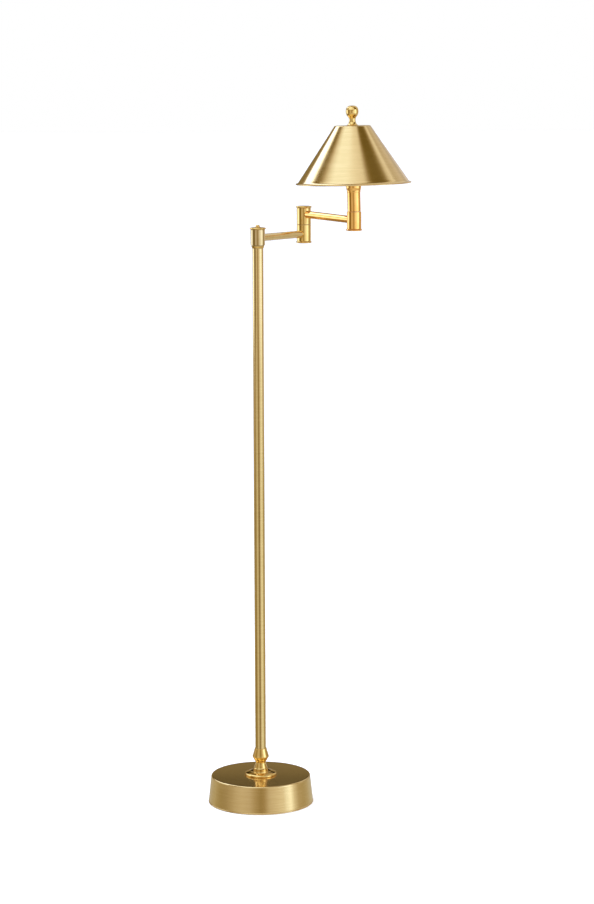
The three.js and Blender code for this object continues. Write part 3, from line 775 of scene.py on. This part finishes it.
def studio():
    """A white tent with dark gaps: tall soft panels round the lamp, and a wide one overhead."""
    world = bpy.data.worlds.new("studio")
    bpy.context.scene.world = world
    world.use_nodes = True
    n = Nodes(world.node_tree)
    way = n.add("ShaderNodeTexCoord").outputs["Generated"]
    x, y, z = n.add("ShaderNodeSeparateXYZ", {0: way}).outputs
    walls = panels(n, x, y, [
        (-180, 0.55), (-150, 0.6), (-115, 0.6), (-98, 0.56), (-84, 0.54), (-70, 0.56), (-60, 0.62),
        (-44, 0.64), (-26, 0.64), (-12, 0.48), (0, 0.37), (8, 0.42), (20, 0.64), (38, 0.72), (52, 0.84),
        (62, 1.35), (70, 1.75), (80, 1.0), (94, 0.66), (110, 0.64), (140, 0.62), (180, 0.55),
    ])
    high_walls = panels(n, x, y, [
        (-180, 0.45), (-166, 0.24), (-148, 0.24), (-134, 0.6), (-115, 0.6), (-98, 0.56), (-84, 0.46),
        (-70, 0.3), (-60, 0.4), (-44, 0.62), (-26, 0.6), (-12, 0.46), (0, 0.26), (8, 0.34), (20, 0.66),
        (38, 0.9), (52, 1.6), (62, 2.2), (70, 1.9), (80, 0.9), (94, 0.4), (110, 0.44), (140, 0.6),
        (180, 0.5),
    ])
    low_walls = panels(n, x, y, [
        (-180, 0.5), (-125, 0.5), (-100, 0.28), (-84, 0.22), (-66, 0.38), (-42, 0.78), (-28, 0.6), (-14, 0.3),
        (0, 0.12), (8, 0.22), (20, 0.75), (42, 1.05), (60, 0.95), (76, 0.7), (92, 0.38), (110, 0.38),
        (140, 0.55), (180, 0.5),
    ], green=1.06)
    ceiling = panels(n, x, y, [
        (-180, 0.5), (-164, 0.2), (-156, 0.5), (-148, 2.2), (-130, 2.8), (-122, 2.6), (-117, 0.8),
        (-112, 0.16), (-103, 0.2), (-95, 0.5), (-86, 1.0), (-70, 1.4), (-30, 1.35), (0, 1.12), (34, 0.95),
        (42, 0.62), (50, 0.26), (58, 0.15), (84, 0.14), (96, 0.22), (104, 0.8), (112, 1.05), (118, 0.6),
        (124, 0.62), (150, 0.8), (180, 0.5),
    ])
    floor_level = panels(n, x, y, [
        (-180, 0.6), (-140, 0.3), (-90, 0.22), (-60, 0.5), (0, 0.75), (90, 0.6), (180, 0.6),
    ])
    light = n.mix(n.span(z, -0.09, -0.15), walls, low_walls)
    light = n.mix(n.span(z, 0.02, 0.1), light, high_walls)
    light = n.mix(n.span(z, 0.36, 0.42), light, ceiling)
    # A dark gap low in the tent, at the back.
    low_band = n.math("MULTIPLY", n.span(z, -0.02, 0.02), n.span(z, 0.2, 0.15))
    light = n.mix(n.math("MULTIPLY", low_band, n.span(y, 0.3, 0.5)), light, (*tone(0.2), 1))
    light = n.mix(n.span(z, -0.2, -0.45), light, floor_level)
    seen = n.add("ShaderNodeLightPath").outputs["Is Camera Ray"]
    light = n.mix(seen, light, WHITE)
    background = n.add("ShaderNodeBackground", {"Color": light, "Strength": 1.0})
    n.add("ShaderNodeOutputWorld", {"Surface": background.outputs[0]})


def card(name, mesh, colour_of, cover_of):
    """A panel that only shows in reflections. Its edges fade out where the cover falls to 0."""
    lit, n = material(name)
    place = n.add("ShaderNodeTexCoord").outputs["Object"]
    xyz = n.add("ShaderNodeSeparateXYZ", {0: place}).outputs
    glow = n.add("ShaderNodeEmission", {"Color": colour_of(n, xyz), "Strength": 1.0}).outputs[0]
    clear = n.add("ShaderNodeBsdfTransparent").outputs[0]
    mixed = n.add("ShaderNodeMixShader", {0: cover_of(n, xyz), 1: clear, 2: glow}).outputs[0]
    n.add("ShaderNodeOutputMaterial", {"Surface": mixed})
    mesh.materials.append(lit)
    piece = bpy.data.objects.new(name, mesh)
    bpy.context.scene.collection.objects.link(piece)
    piece.visible_camera = False
    piece.visible_diffuse = False
    piece.visible_shadow = False
    piece.visible_transmission = False


def wall_mesh(corners_xy, low, high, closed):
    """An upright wall along a line of points."""
    mesh = bmesh.new()
    rows = [[mesh.verts.new((x, y, z)) for x, y in corners_xy] for z in (low, high)]
    count = len(corners_xy)
    for i in range(count if closed else count - 1):
        j = (i + 1) % count
        mesh.faces.new((rows[0][i], rows[0][j], rows[1][j], rows[1][i]))
    made = bpy.data.meshes.new("wall")
    mesh.to_mesh(made)
    mesh.free()
    return made


def cards():
    """A ring of bright and dark cards level with the arms, and a dark one behind the base."""
    radius = 1.6
    angles = [math.radians(degrees) for degrees in range(0, 360, 5)]
    ring = [(radius * math.sin(a), -radius * math.cos(a)) for a in angles]
    levels = [
        (-180, 0.2), (-158, 0.22), (-146, 0.6), (-128, 1.7), (-98, 1.7), (-88, 0.6), (-77, 0.34), (-64, 0.15),
        (-52, 0.22), (-42, 0.62), (-26, 0.72), (-11, 0.42), (0, 0.4), (8, 0.52), (20, 0.95), (40, 1.2),
        (54, 1.5), (76, 1.8), (84, 1.0), (94, 0.38), (106, 0.4), (125, 0.7), (150, 0.72), (180, 0.25),
    ]

    def fade(n, z, low, high):
        return n.math("MULTIPLY", n.span(z, low, low + 0.15), n.span(z, high, high - 0.1))

    def ring_colour(n, xyz):
        return panels(n, xyz[0], xyz[1], levels)

    def ring_cover(n, xyz):
        return fade(n, xyz[2], 0.72, 1.72)

    def base_colour(n, xyz):
        return n.mix(n.span(xyz[2], 0.27, 0.4), (*tone(0.29), 1), (*tone(0.02), 1))

    def base_cover(n, xyz):
        sides = n.span(n.math("ABSOLUTE", xyz[0]), 0.44, 0.3)
        return n.math("MULTIPLY", fade(n, xyz[2], 0.0, 0.6), sides)

    card("arm_cards", wall_mesh(ring, 0.7, 1.75, True), ring_colour, ring_cover)
    card("base_card", wall_mesh([(-0.45, 1.0), (0.45, 1.0)], 0.0, 0.6, False), base_colour, base_cover)


def softbox(name, place, size, power):
    """A square lamp that faces the object and doesn't show in reflections."""
    data = bpy.data.lights.new(name, "AREA")
    data.shape = "SQUARE"
    data.size = size
    data.energy = power
    lamp = bpy.data.objects.new(name, data)
    bpy.context.scene.collection.objects.link(lamp)
    lamp.location = place
    lamp.rotation_euler = (LAMP_MIDDLE - Vector(place)).to_track_quat("-Z", "Y").to_euler()
    lamp.visible_camera = False
    lamp.visible_glossy = False


def camera():
    """The camera: 5.2 m off, at standing height, a little above the lamp."""
    data = bpy.data.cameras.new("camera")
    data.sensor_fit = "VERTICAL"
    data.sensor_height = 36
    data.lens = 104.25
    data.clip_end = 200
    eye = bpy.data.objects.new("camera", data)
    bpy.context.scene.collection.objects.link(eye)
    pitch, yaw, roll = (math.radians(a) for a in (8.255, 0.841, -0.202))
    eye.matrix_world = (
        Matrix.Translation((0, -5.2065, 1.4772))
        @ Matrix.Rotation(-yaw, 4, "Z")
        @ Matrix.Rotation(math.pi / 2 - pitch, 4, "X")
        @ Matrix.Rotation(roll, 4, "Z")
    )
    bpy.context.scene.camera = eye


floor()
studio()
cards()
softbox("overhead_softbox", (0.3, -0.4, 4.2), 3.0, 60)
softbox("front_softbox", (-1.8, -3.0, 2.6), 2.0, 30)
camera()
bpy.context.scene.view_settings.view_transform = "Standard"
